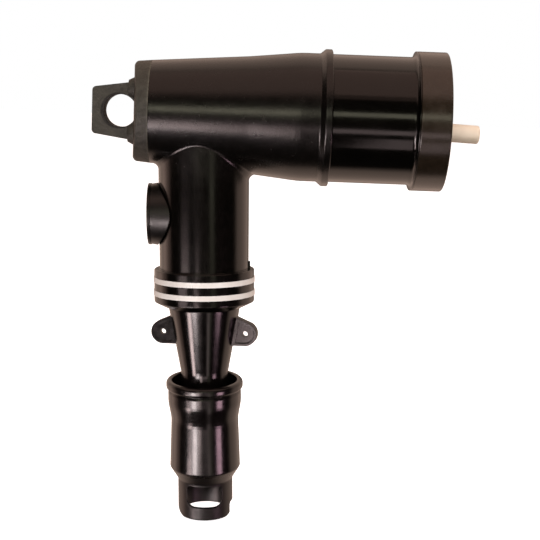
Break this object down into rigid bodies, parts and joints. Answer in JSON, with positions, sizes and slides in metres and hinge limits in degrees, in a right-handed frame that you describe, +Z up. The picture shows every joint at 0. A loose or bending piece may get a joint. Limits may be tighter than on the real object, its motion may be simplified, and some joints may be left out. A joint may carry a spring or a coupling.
{
  "type": "separable elbow connector",
  "caption": "Moulded rubber cable elbow that pushes onto a bushing, with a pulling eye, a capped test point, a probe with an arc follower, a cable adapter and a jacket seal.",
  "frame": {"origin": "centre of the mouth face, on the axis of the arm", "axes": "+X out of the mouth along the arm, +Z up and away from the cable leg, +Y away from the tail window"},
  "size_m": [0.2319, 0.083, 0.2905],
  "materials": {
    "shield_rubber": "satin conductive rubber",
    "insulation_rubber": "glossy insulating rubber",
    "insert_rubber": "matt conductive rubber",
    "cuff_rubber": "matt brown-black rubber",
    "eye_rubber": "matt rough grey rubber",
    "cap_rubber": "satin rubber",
    "band_plastic": "cream white, matt",
    "rod_steel": "drawn steel",
    "terminal_metal": "turned",
    "palm_copper": null,
    "barrel_aluminium": "drawn tube",
    "probe_copper": null,
    "follower_plastic": "ivory, satin",
    "adapter_rubber": "satin conductive rubber",
    "stress_rubber": "insulating rubber",
    "seal_rubber": "glossy soft rubber"
  },
  "bodies": {
    "root": {"elbow_shield": "shield_rubber", "insulation_body": "insulation_rubber", "conductive_insert": "insert_rubber", "mouth_cuff": "cuff_rubber", "pulling_eye": "eye_rubber", "eye_rod": "rod_steel", "test_point_terminal": "terminal_metal", "test_point_cap": "cap_rubber", "identification_band_upper": "band_plastic", "identification_band_lower": "band_plastic", "connector_palm": "palm_copper", "connector_barrel": "barrel_aluminium", "contact_probe": "probe_copper", "arc_follower": "follower_plastic", "cable_adapter": "adapter_rubber", "stress_cone": "stress_rubber", "jacket_seal": "seal_rubber"}
  },
  "joints": []
}
